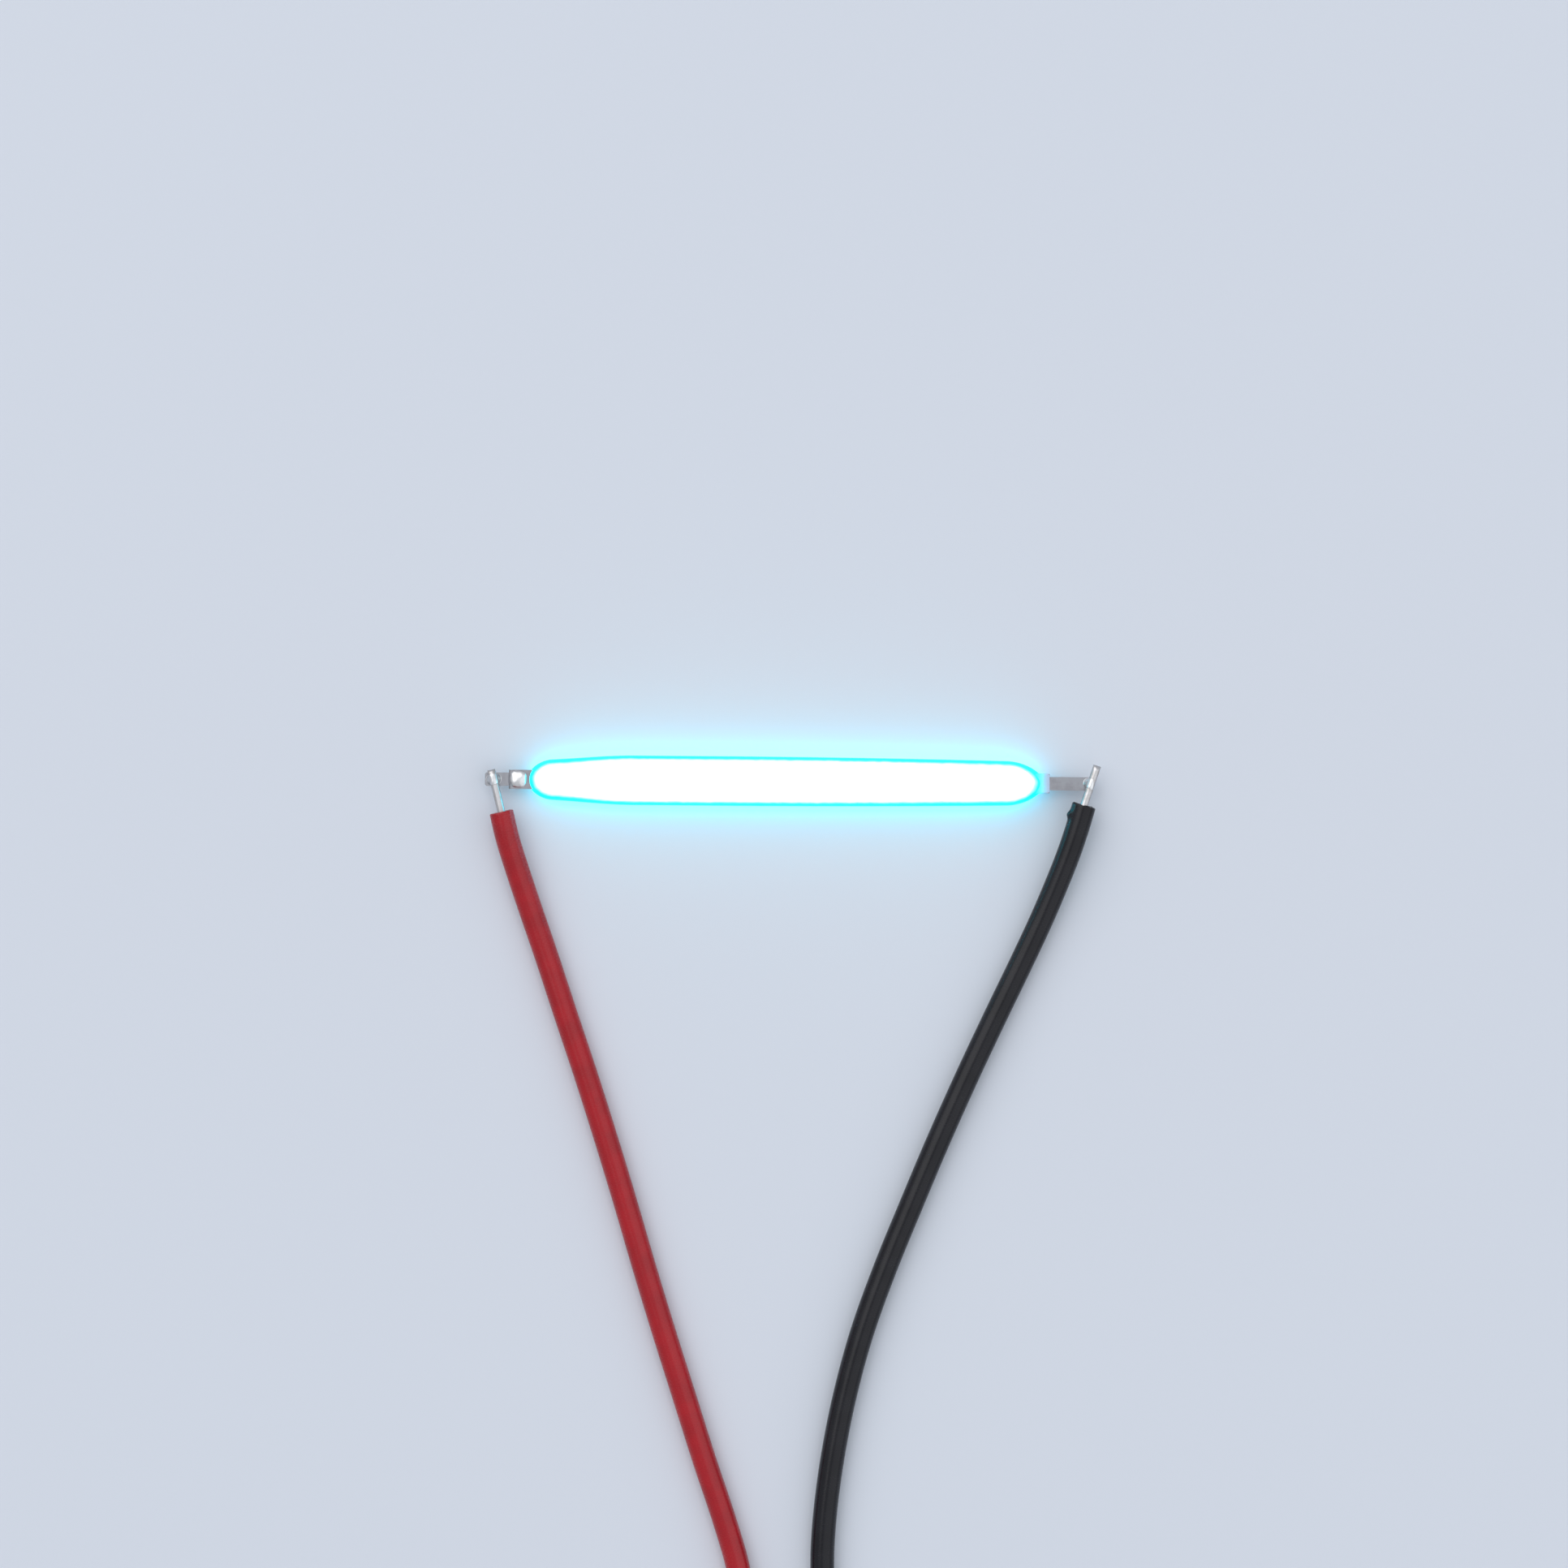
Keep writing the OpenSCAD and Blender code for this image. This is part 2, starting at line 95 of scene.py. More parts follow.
class Shader:
    """One material and the nodes that make its surface."""

    def __init__(self, name: str) -> None:
        """Starts a material with a bare Principled surface.

        Args:
            name: The material's name.
        """
        self.material = bpy.data.materials.new(name)
        self.material.use_nodes = True
        self.tree = self.material.node_tree
        self.surface = next(n for n in self.tree.nodes if n.type == "BSDF_PRINCIPLED")

    def _fill(self, socket: bpy.types.NodeSocket, value: Input) -> None:
        """Links a socket to a value, or sets it to a number or a colour."""
        if isinstance(value, Value):
            self.tree.links.new(value.socket, socket)
        elif socket.type == "RGBA":
            socket.default_value = (*value, 1.0)
        else:
            socket.default_value = value

    def node(self, kind: str, settings: dict, inputs: dict, output: Union[int, str] = 0) -> Value:
        """Adds a node.

        Args:
            kind: The node's type.
            settings: Its own properties, set before its sockets are.
            inputs: What goes into its sockets, by index or by name.
            output: The socket that the answer stands for.

        Returns:
            The node's output.
        """
        made = self.tree.nodes.new(kind)
        for key, setting in settings.items():
            setattr(made, key, setting)
        for key, value in inputs.items():
            self._fill(made.inputs[key], value)
        return Value(self, made.outputs[output])

    def place(self) -> Value:
        """The point on the surface, in metres in the frame's axes."""
        return self.node("ShaderNodeTexCoord", {}, {}, "Object")

    def axis(self, name: str) -> Value:
        """One coordinate of the point on the surface, X, Y or Z."""
        return self.node("ShaderNodeSeparateXYZ", {}, {0: self.place()}, name)

    def grain(self, size: Union[float, Point], detail: float = 2.0) -> Value:
        """Noise from 0 to 1 over the surface.

        Args:
            size: How far apart its swells lie, in metres, the same each way or along X, Y and Z.
            detail: How many finer layers it has.

        Returns:
            The noise.
        """
        sizes = size if isinstance(size, tuple) else (size, size, size)
        scaled = self.node(
            "ShaderNodeVectorMath", {"operation": "MULTIPLY"},
            {0: self.place(), 1: tuple(1 / s for s in sizes)},
        )
        return self.node("ShaderNodeTexNoise", {}, {"Vector": scaled, "Scale": 1.0, "Detail": detail})

    def step(self, value: Value, low: float, high: float) -> Value:
        """Rises smoothly from 0 where the value is low to 1 where it is high."""
        settings = {"interpolation_type": "SMOOTHSTEP"}
        return self.node("ShaderNodeMapRange", settings, {0: value, 1: low, 2: high, 3: 0.0, 4: 1.0})

    def blend(self, share: Value, first: Input, second: Input) -> Value:
        """Mixes two colours, the second by its share."""
        return self.node("ShaderNodeMix", {"data_type": "RGBA"}, {0: share, 6: first, 7: second}, 2)

    def relief(self, height: Value, depth: float) -> Value:
        """A normal that is bumped by a height from 0 to 1, over a depth in metres."""
        return self.node("ShaderNodeBump", {}, {"Strength": 1.0, "Distance": depth, "Height": height})

    def set(self, **inputs: Input) -> None:
        """Fills the surface's own sockets.

        Args:
            inputs: What goes into each socket, with an underscore for each space in its name.
        """
        for key, value in inputs.items():
            self._fill(self.surface.inputs[key.replace("_", " ")], value)


class SkyShader(Shader):
    """The world's nodes, which make the light that comes from all round."""

    def __init__(self, name: str) -> None:
        """Starts a world with a plain background.

        Args:
            name: The world's name.
        """
        self.world = bpy.data.worlds.new(name)
        self.world.use_nodes = True
        self.tree = self.world.node_tree
        self.surface = self.tree.nodes["Background"]

    def seen(self) -> Value:
        """1 for what the eye or a mirror sees, and 0 for the light that falls on things."""
        path = {"operation": "MAXIMUM"}
        eye = self.node("ShaderNodeLightPath", {}, {}, "Is Camera Ray")
        mirror = self.node("ShaderNodeLightPath", {}, {}, "Is Glossy Ray")
        return self.node("ShaderNodeMath", path, {0: eye, 1: mirror})


# ---- Finishes ----


class Slot(Enum):
    """Names of material slots for the finishes of the pieces made here."""

    PHOSPHOR_SILICONE = "phosphor_silicone"
    SOLDER = "solder"
    TINNED_COPPER = "tinned_copper"
    RED_INSULATION = "red_insulation"
    BLACK_INSULATION = "black_insulation"


@dataclass(frozen=True)
class LitSilicone:
    """Silicone filled with phosphor, glowing white over its crown and cyan where it is thin.

    A point's height above or below the coat's mid-plane says how much phosphor its light has come through.
    """

    name: str
    whiteness: float
    mid_z: float = 1.0 * MM
    thin: float = 0.24 * MM
    thick: float = 0.58 * MM
    crown: Colour = (0.45, 0.98, 1.0)
    waist: Colour = (0.0, 0.8, 1.0)
    unlit_crown: Colour = (0.86, 0.95, 0.95)
    unlit_waist: Colour = (0.02, 0.6, 0.75)
    strength: float = 2.6
    roughness: float = 0.34
    gloss: float = 0.3
    mottle_size: float = 0.5 * MM
    mottle_depth: float = 0.1 * MM
    ripple_size: float = 0.12 * MM
    ripple_depth: float = 0.004 * MM

    def material(self) -> bpy.types.Material:
        """Makes the finish.

        Returns:
            The material.
        """
        shader = Shader(self.name)
        height = abs(shader.axis("Z") - self.mid_z)
        mottle = shader.grain(self.mottle_size) - 0.5
        depth = height + mottle * self.mottle_depth
        white = shader.step(depth, self.thin, self.thick) * self.whiteness
        shader.set(
            Base_Color=shader.blend(white, self.unlit_waist, self.unlit_crown),
            Emission_Color=shader.blend(white, self.waist, self.crown),
            Emission_Strength=self.strength,
            Roughness=self.roughness,
            Specular_IOR_Level=self.gloss,
            Normal=shader.relief(shader.grain(self.ripple_size), self.ripple_depth),
        )
        return shader.material


@dataclass(frozen=True)
class CreptSilicone:
    """Silicone in a thin film, with a painted glow that stands in for the coat's light spilling into it,
    and that sinks to a deep blue the further it has crept from the coat.
    """

    name: str
    near_x: float = 15.35 * MM
    far_x: float = 16.25 * MM
    near_painted_glow: Colour = (0.0, 0.85, 1.0)
    far_painted_glow: Colour = (0.0, 0.03, 0.1)
    near_body: Colour = (0.02, 0.6, 0.75)
    far_body: Colour = (0.5, 0.6, 0.72)
    strength: float = 1.3
    roughness: float = 0.3
    mottle_size: float = 0.25 * MM
    mottle_depth: float = 0.15 * MM
    ripple_size: float = 0.08 * MM
    ripple_depth: float = 0.003 * MM

    def material(self) -> bpy.types.Material:
        """Makes the finish.

        Returns:
            The material.
        """
        shader = Shader(self.name)
        mottle = shader.grain(self.mottle_size) - 0.5
        crept = shader.step(shader.axis("X") + mottle * self.mottle_depth, self.near_x, self.far_x)
        # Painted light: the film is no lamp, so its emission is the coat's light painted on, fading with
        # distance from the coat.
        shader.set(
            Base_Color=shader.blend(crept, self.near_body, self.far_body),
            Emission_Color=shader.blend(crept, self.near_painted_glow, self.far_painted_glow),
            Emission_Strength=self.strength,
            Roughness=self.roughness,
            Normal=shader.relief(shader.grain(self.ripple_size), self.ripple_depth),
        )
        return shader.material


@dataclass(frozen=True)
class Metal:
    """A plated, tinned or soldered metal: two tones, a grain and a roughness that varies with it."""

    name: str
    tone: Colour
    dull_tone: Colour
    roughness: float
    dull_roughness: float
    grain_size: Point
    patch_size: float
    relief_depth: float
    patch_low: float = 0.35
    patch_high: float = 0.7
    patch_share: float = 0.6
    grain_detail: float = 4.0

    def material(self) -> bpy.types.Material:
        """Makes the finish.

        Returns:
            The material.
        """
        shader = Shader(self.name)
        patches = shader.step(shader.grain(self.patch_size), self.patch_low, self.patch_high)
        grain = shader.grain(self.grain_size, self.grain_detail)
        dull = patches * self.patch_share + grain * (1 - self.patch_share)
        shader.set(
            Base_Color=shader.blend(dull, self.tone, self.dull_tone),
            Metallic=1.0,
            Roughness=dull * (self.dull_roughness - self.roughness) + self.roughness,
            Normal=shader.relief(grain, self.relief_depth),
        )
        return shader.material


@dataclass(frozen=True)
class Plastic:
    """An opaque or glassy body with a faint mottle and fine surface relief."""

    name: str
    tone: Colour
    second_tone: Colour
    roughness: float
    mottle_size: float
    relief_size: float
    relief_depth: float
    gloss: float = 0.5
    mottle_low: float = 0.3
    mottle_high: float = 0.7
    relief_detail: float = 3.0
    roughness_swing: float = 0.14

    def material(self) -> bpy.types.Material:
        """Makes the finish.

        Returns:
            The material.
        """
        shader = Shader(self.name)
        mottle = shader.step(shader.grain(self.mottle_size), self.mottle_low, self.mottle_high)
        fine = shader.grain(self.relief_size, self.relief_detail)
        shader.set(
            Base_Color=shader.blend(mottle, self.tone, self.second_tone),
            Roughness=fine * self.roughness_swing + (self.roughness - self.roughness_swing / 2),
            Specular_IOR_Level=self.gloss,
            Normal=shader.relief(fine, self.relief_depth),
        )
        return shader.material


FRONT_SILICONE = LitSilicone("lit_silicone_front", whiteness=1.0)
BACK_SILICONE = LitSilicone("lit_silicone_back", whiteness=0.55)
# Painted glow: this film's emission stands in for the coat's light falling on it.
FILM_SILICONE = CreptSilicone("crept_silicone_painted_glow")
PLATED_STEEL = Metal(
    "plated_steel", (0.33, 0.34, 0.37), (0.23, 0.23, 0.25), 0.28, 0.42,
    (0.9 * MM, 0.03 * MM, 0.03 * MM), 0.6 * MM, 0.0015 * MM,
)
SOLDER_ALLOY = Metal(
    "solder_alloy", (0.7, 0.71, 0.72), (0.54, 0.54, 0.55), 0.26, 0.4,
    (0.12 * MM, 0.12 * MM, 0.12 * MM), 0.4 * MM, 0.0012 * MM,
)
TINNED_COPPER = Metal(
    "tinned_copper", (0.54, 0.54, 0.56), (0.42, 0.4, 0.38), 0.3, 0.44,
    (0.25 * MM, 0.25 * MM, 0.25 * MM), 0.5 * MM, 0.0012 * MM,
)
SILVER_PRINT = Metal(
    "silver_print", (0.86, 0.85, 0.83), (0.7, 0.69, 0.67), 0.35, 0.55,
    (0.03 * MM, 0.03 * MM, 0.03 * MM), 0.2 * MM, 0.001 * MM,
)
GOLD = Metal(
    "bond_gold", (1.0, 0.76, 0.34), (0.85, 0.6, 0.26), 0.16, 0.28,
    (0.05 * MM, 0.05 * MM, 0.05 * MM), 0.1 * MM, 0.0005 * MM,
)
CERAMIC = Plastic(
    "white_ceramic", (0.9, 0.9, 0.88), (0.84, 0.84, 0.82), 0.6, 0.4 * MM, 0.03 * MM, 0.002 * MM,
)
ADHESIVE = Plastic(
    "clear_adhesive", (0.92, 0.9, 0.8), (0.86, 0.84, 0.74), 0.3, 0.2 * MM, 0.05 * MM, 0.001 * MM,
)
SAPPHIRE = Plastic(
    "sapphire", (0.6, 0.78, 0.95), (0.5, 0.7, 0.92), 0.12, 0.2 * MM, 0.04 * MM, 0.0003 * MM, 0.8,
)
RED_PVC = Plastic(
    "red_pvc", (0.41, 0.004, 0.012), (0.34, 0.003, 0.01), 0.27, 1.6 * MM, 0.12 * MM, 0.002 * MM, 0.42,
)
BLACK_PVC = Plastic(
    "black_pvc", (0.005, 0.005, 0.008), (0.009, 0.009, 0.013), 0.26, 1.6 * MM, 0.12 * MM, 0.002 * MM, 0.26,
)


# ---- Meshes ----


def add_object(name: str, data: bpy.types.ID) -> bpy.types.Object:
    """Puts a mesh, a lamp or a camera in the scene.

    Args:
        name: The object's name.
        data: What the object shows.

    Returns:
        The new object.
    """
    made = bpy.data.objects.new(name, data)
    bpy.context.scene.collection.objects.link(made)
    return made


def add_piece(
    name: str, points: Sequence[Vector], faces: Sequence[Sequence[int]],
    material: bpy.types.Material, replaced: Sequence[str] = (),
) -> bpy.types.Object:
    """Makes a smooth mesh piece that rides on the frame.

    Args:
        name: The piece's name.
        points: Its vertices.
        faces: Its faces, as indices into the vertices.
        material: Its finish.
        replaced: The frame's nodes that it stands for.

    Returns:
        The new object.
    """
    mesh = bpy.data.meshes.new(name)
    mesh.from_pydata([tuple(p) for p in points], [], faces)
    mesh.validate()
    mesh.shade_smooth()
    mesh.materials.append(material)
    piece = add_object(name, mesh)
    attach(piece, ROOT)
    if replaced:
        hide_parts(*replaced)
    LOG.info("made %s, %d faces", name, len(faces))
    return piece


def loft(rings: Sequence[Sequence[Vector]]) -> tuple[list[Vector], list[tuple[int, ...]]]:
    """Joins closed rings of the same count into a tube with its two ends filled.

    Args:
        rings: The rings, from one end to the other.

    Returns:
        The points and the faces.
    """
    count = len(rings[0])
    points = [p for ring in rings for p in ring]
    faces = [
        (r * count + k, r * count + (k + 1) % count, (r + 1) * count + (k + 1) % count, (r + 1) * count + k)
        for r in range(len(rings) - 1)
        for k in range(count)
    ]
    last = (len(rings) - 1) * count
    faces.append(tuple(reversed(range(count))))
    faces.append(tuple(range(last, last + count)))
    return points, faces


def eased(share: float) -> float:
    """Goes from 0 to 1, slow at both ends."""
    share = min(max(share, 0.0), 1.0)
    return share * share * (3 - 2 * share)


def smooth_line(points: Sequence[Vector], step: float) -> list[Vector]:
    """Draws a smooth line through the points.

    Args:
        points: What it passes through.
        step: About how far apart its own points are to be.

    Returns:
        The points of the line.
    """
    before = points[0] * 2 - points[1]
    after = points[-1] * 2 - points[-2]
    held = [before, *points, after]
    line = []
    for a, b, c, d in zip(held, held[1:], held[2:], held[3:]):
        count = max(1, round((c - b).length / step))
        for k in range(count):
            t = k / count
            line.append(
                b + (c - a) * (t / 2) + (a * 2 - b * 5 + c * 4 - d) * (t * t / 2)
                + ((b - c) * 3 + d - a) * (t * t * t / 2)
            )
    line.append(points[-1])
    return line


@dataclass(frozen=True)
class RoundBar:
    """A bar swept along a line, with a radius that may vary along it and round it."""

    line: Sequence[Vector]
    sides: int
    radius_at: Callable[[float, float], float]

    def rings(self) -> list[list[Vector]]:
        """Works out the rings.

        Returns:
            One ring for each point of the line. The radius is asked for by distance along and angle round.
        """
        along = (self.line[1] - self.line[0]).normalized()
        side = along.cross(Vector((0, 0, 1))).normalized()
        travelled = 0.0
        rings = []
        for i, centre in enumerate(self.line):
            ahead = self.line[min(i + 1, len(self.line) - 1)] - self.line[max(i - 1, 0)]
            along = ahead.normalized()
            side = (side - along * side.dot(along)).normalized()
            up = side.cross(along)
            if i:
                travelled += (centre - self.line[i - 1]).length
            ring = []
            for k in range(self.sides):
                angle = math.tau * k / self.sides
                out = side * math.cos(angle) + up * math.sin(angle)
                ring.append(centre + out * self.radius_at(travelled, angle))
            rings.append(ring)
        return rings


# ---- Camera, lamps and table ----


@dataclass(frozen=True)
class Viewpoint:
    """A camera that looks straight down on the filament."""

    centre: tuple[float, float] = (-0.303 * MM, -0.155 * MM)
    height: float = 250 * MM
    framed: float = 98.07 * MM
    framed_z: float = 1.0 * MM
    roll: float = math.radians(0.47)
    nearest: float = 10 * MM

    def build(self) -> None:
        """Adds the camera and makes it the scene's own."""
        data = bpy.data.cameras.new("camera")
        data.lens = data.sensor_width * (self.height - self.framed_z) / self.framed
        data.clip_start = self.nearest
        camera = add_object("camera", data)
        camera.location = (*self.centre, self.height)
        camera.rotation_euler.z = self.roll
        bpy.context.scene.camera = camera


@dataclass(frozen=True)
class Lamp:
    """A soft square lamp that points at the filament."""

    name: str
    place: Point
    side: float
    watts: float
    colour: Colour

    def build(self) -> None:
        """Adds the lamp."""
        data = bpy.data.lights.new(self.name, "AREA")
        data.size = self.side
        data.energy = self.watts
        data.color = self.colour
        lamp = add_object(self.name, data)
        lamp.location = self.place
        lamp.rotation_euler = Vector(self.place).to_track_quat("Z", "Y").to_euler()


@dataclass(frozen=True)
class Studio:
    """A pale table under soft light."""

    table_side: float = 24.0
    table_drop: float = 0.01 * MM
    table_tone: Colour = (0.7, 0.75, 0.84)
    table_roughness: float = 0.55
    sky_tone: Colour = (0.92, 0.95, 1.0)
    sky_strength: float = 0.36
    backdrop_strength: float = 0.7
    lamps: tuple[Lamp, ...] = (
        Lamp("key_lamp", (-1.4, 1.8, 2.8), 4.4, 92.0, (1.0, 0.99, 0.98)),
        Lamp("fill_lamp", (2.0, -0.8, 2.4), 4.4, 38.0, (0.96, 0.98, 1.0)),
    )

    def _table(self) -> None:
        """Adds the table top, just under the filament."""
        shader = Shader("pale_table")
        shader.set(Base_Color=self.table_tone, Roughness=self.table_roughness)
        half = self.table_side / 2
        corners = [(-half, -half, 0), (half, -half, 0), (half, half, 0), (-half, half, 0)]
        mesh = bpy.data.meshes.new("table_top")
        mesh.from_pydata(corners, [], [(0, 1, 2, 3)])
        mesh.materials.append(shader.material)
        table = add_object("table_top", mesh)
        table.location.z = -self.table_drop

    def build(self) -> None:
        """Adds the table, the lamps and an even sky."""
        self._table()
        for lamp in self.lamps:
            lamp.build()
        sky = SkyShader("studio")
        strength = sky.seen() * (self.backdrop_strength - self.sky_strength) + self.sky_strength
        sky.set(Color=self.sky_tone, Strength=strength)
        bpy.context.scene.world = sky.world
        bpy.context.scene.view_settings.view_transform = "Standard"


# ---- Leads ----

RED_ROUTE: tuple[Point, ...] = (
    (-0.01760, -0.0035, 0.00130), (-0.01715, -0.0050, 0.00115), (-0.01615, -0.0080, 0.00085),
    (-0.01510, -0.0110, 0.00075), (-0.01385, -0.0147, 0.00075), (-0.01255, -0.0185, 0.00075),
    (-0.01125, -0.0225, 0.00075), (-0.01000, -0.0265, 0.00075), (-0.00880, -0.0305, 0.00075),
    (-0.00755, -0.0345, 0.00075), (-0.00625, -0.0385, 0.00075), (-0.00495, -0.0425, 0.00075),
    (-0.00365, -0.0463, 0.00075), (-0.00275, -0.0494, 0.00075), (-0.00245, -0.0523, 0.00075),
    (-0.00280, -0.0552, 0.00075), (-0.00380, -0.0582, 0.00075), (-0.00485, -0.0612, 0.00075),
    (-0.00540, -0.0642, 0.00075),
)
BLACK_ROUTE: tuple[Point, ...] = (
    (0.01800, -0.0029, 0.00130), (0.01733, -0.0049, 0.00115), (0.01610, -0.0080, 0.00085),
    (0.01475, -0.0110, 0.00075), (0.01300, -0.0147, 0.00075), (0.01125, -0.0185, 0.00075),
    (0.00950, -0.0225, 0.00075), (0.00785, -0.0265, 0.00075), (0.00625, -0.0305, 0.00075),
    (0.00485, -0.0345, 0.00075), (0.00380, -0.0385, 0.00075), (0.00305, -0.0425, 0.00075),
    (0.00260, -0.0463, 0.00075), (0.00250, -0.0494, 0.00075), (0.00275, -0.0523, 0.00075),
    (0.00335, -0.0552, 0.00075), (0.00425, -0.0582, 0.00075), (0.00505, -0.0612, 0.00075),
    (0.00550, -0.0642, 0.00075),
)
# Y and Z of where a lead goes after its coil. Its X is that of the coil's outer side.
TAIL_ROUTE: tuple[tuple[float, float], ...] = (
    (-0.0650, 0.00215), (-0.0640, 0.00190), (-0.0630, 0.00150),
    (-0.0620, 0.00115), (-0.0609, 0.00085), (-0.0595, 0.00075),
)


class Side(Enum):
    """The two ends of the filament, by the sign of their X."""

    POSITIVE = -1
    NEGATIVE = 1


@dataclass(frozen=True)
class Crossing:
    """The place where a lead's bare core crosses the pin that it is soldered to."""

    side: Side
    inset: float
    lean: float
    bare: float
    snip: float
    pin_end: float = 19 * MM
    pin_top: float = 1.1 * MM
    film: float = 0.03 * MM
    core_radius: float = 0.25 * MM

    @property
    def middle(self) -> Vector:
        """The point of the core's axis that lies over the pin's centre line."""
        x = self.side.value * (self.pin_end - self.inset)
        return Vector((x, 0, self.pin_top + self.film + self.core_radius))

    @property
    def out(self) -> Vector:
        """The way that the core points, out of its insulation."""
        return Vector((self.side.value * math.sin(self.lean), math.cos(self.lean), 0))

    @property
    def exit(self) -> Vector:
        """The point where the insulation starts."""
        return self.middle - self.out * self.bare


RED_CROSSING = Crossing(Side.POSITIVE, 0.55 * MM, math.radians(14), bare=2.1 * MM, snip=0.6 * MM)
BLACK_CROSSING = Crossing(Side.NEGATIVE, 0.12 * MM, math.radians(18), bare=1.4 * MM, snip=1.2 * MM)


@dataclass(frozen=True)
class Nick:
    """A small burr that a stripping tool has raised on the insulation."""

    along: float
    angle: float
    height: float
    spread: float

    def lift(self, along: float, angle: float, radius: float) -> float:
        """How far the burr lifts the surface at a place."""
        turn = math.remainder(angle - self.angle, math.tau) * radius
        away = math.hypot(along - self.along, turn)
        return self.height * math.exp(-((away / self.spread) ** 2))


@dataclass(frozen=True)
class Lead:
    """An insulated lead from its joint to its stored coil and bare end."""

    name: str
    crossing: Crossing
    route: Sequence[Point]
    finish: Plastic
    slot: Slot
    length: float
    raggedness: float
    nicks: tuple[Nick, ...] = ()
    diameter: float = 1.5 * MM
    core_diameter: float = 0.5 * MM
    coil_centre: tuple[float, float] = (13.1 * MM, -68 * MM)
    coil_radius: float = 7.5 * MM
    turns: float = 1.5
    climb_from: float = 0.72
    climb_to: float = 0.98
    bare_end: float = 5 * MM
    edge_radius: float = 0.07 * MM
    ragged_reach: float = 0.5 * MM
    ragged_scale: float = 2.2
    ragged_seeds: tuple[float, float] = (11.0, 37.0)
    line_step: float = 0.4 * MM
    steps_a_turn: int = 24
    end_spans: int = 4
    end_parts: int = 10
    sides: int = 36

    def _coil(self) -> list[Vector]:
        """The centre line of the coil, which climbs onto its own first half turn."""
        steps = round(self.steps_a_turn * self.turns)
        points = []
        for k in range(steps + 1):
            turn = self.turns * k / steps
            angle = math.tau * turn
            low = self.diameter / 2
            rise = eased((turn - self.climb_from) / (self.climb_to - self.climb_from))
            inward = self.coil_centre[0] - self.coil_radius * math.cos(angle)
            across = self.coil_centre[1] - self.coil_radius * math.sin(angle)
            points.append(Vector((self.crossing.side.value * inward, across, low + self.diameter * rise)))
        return points

    @cached_property
    def line(self) -> list[Vector]:
        """The whole centre line of the insulation, smooth and never lower than the table lets it lie."""
        exit_x = self.crossing.side.value * (self.coil_centre[0] + self.coil_radius)
        tail = [Vector((exit_x, y, z)) for y, z in TAIL_ROUTE]
        through = [self.crossing.exit, *(Vector(p) for p in self.route), *self._coil(), *tail]
        line = smooth_line(through, self.line_step)
        for p in line:
            p.z = max(p.z, self.diameter / 2)
        return line

    @cached_property
    def run(self) -> float:
        """The length of the centre line."""
        return sum((b - a).length for a, b in zip(self.line, self.line[1:]))

    def _radius(self, along: float, angle: float) -> float:
        """The insulation's radius, with a rounded edge at each cut end and a burr at each nick."""
        radius = self.diameter / 2
        for gap in (along, self.run - along):
            if gap < self.edge_radius:
                short = self.edge_radius - max(gap, 0.0)
                radius -= self.edge_radius - math.sqrt(self.edge_radius**2 - short**2)
        for nick in self.nicks:
            radius += nick.lift(along, angle, self.diameter / 2)
        return radius

    def _insulation(self) -> bpy.types.Object:
        """Builds the insulation as one tube with a flat cut face at each end."""
        line = self._stations()
        rings = RoundBar(line, self.sides, self._radius).rings()
        first_seed, last_seed = self.ragged_seeds
        self._roughen(rings, line, first_seed)
        self._roughen(rings[::-1], line[::-1], last_seed)
        inner = self.core_diameter / 2
        first = [line[0] + (p - line[0]).normalized() * inner for p in rings[0]]
        last = [line[-1] + (p - line[-1]).normalized() * inner for p in rings[-1]]
        points, faces = loft([first, *rings, last])
        replaced = (f"{self.name}_wire", f"{self.name}_coil")
        material = self.finish.material()
        return add_piece(f"{self.name}_insulation", points, faces, material, replaced)

    def _stations(self) -> list[Vector]:
        """The centre line with more points close to both cut ends, for their rounded edges and burrs."""
        count = len(self.line) - 1
        stations = []
        for i, (a, b) in enumerate(zip(self.line, self.line[1:])):
            parts = self.end_parts if min(i, count - 1 - i) < self.end_spans else 1
            stations += [a.lerp(b, k / parts) for k in range(parts)]
        return [*stations, self.line[-1]]

    def _roughen(self, rings: list[list[Vector]], line: list[Vector], seed: float) -> None:
        """Moves the surface near a cut end in and out along the lead, as a stripping tool leaves it.

        Args:
            rings: The insulation's rings, with the cut end first.
            line: Their centres.
            seed: What sets this end's raggedness apart from another's.
        """
        out = (line[0] - line[1]).normalized()
        for centre, ring in zip(line, rings):
            fade = max(0.0, 1 - (centre - line[0]).length / self.ragged_reach) ** 2
            if fade == 0.0:
                break
            for k, p in enumerate(ring):
                angle = math.tau * k / len(ring)
                c, s = (self.ragged_scale * part for part in (math.cos(angle), math.sin(angle)))
                wave = noise.noise(Vector((c, s, seed)))
                ring[k] = p + out * (wave * self.raggedness * fade)

    def build(self) -> None:
        insulation = self._insulation()
        start, end = self.line[0], self.line[-1]
        joint_reach = self.crossing.bare + self.crossing.snip
        joint_end = BareCore(
            f"{self.name}_joint_core", f"{self.name}_core", start, self.crossing.out, joint_reach,
        )
        free_end = BareCore(
            f"{self.name}_bare_end", f"{self.name}_tip", end, Vector((0, 1, 0)), self.bare_end,
        )
        cores = [joint_end.build(), free_end.build()]
        [tuple(p) for p in self.line]


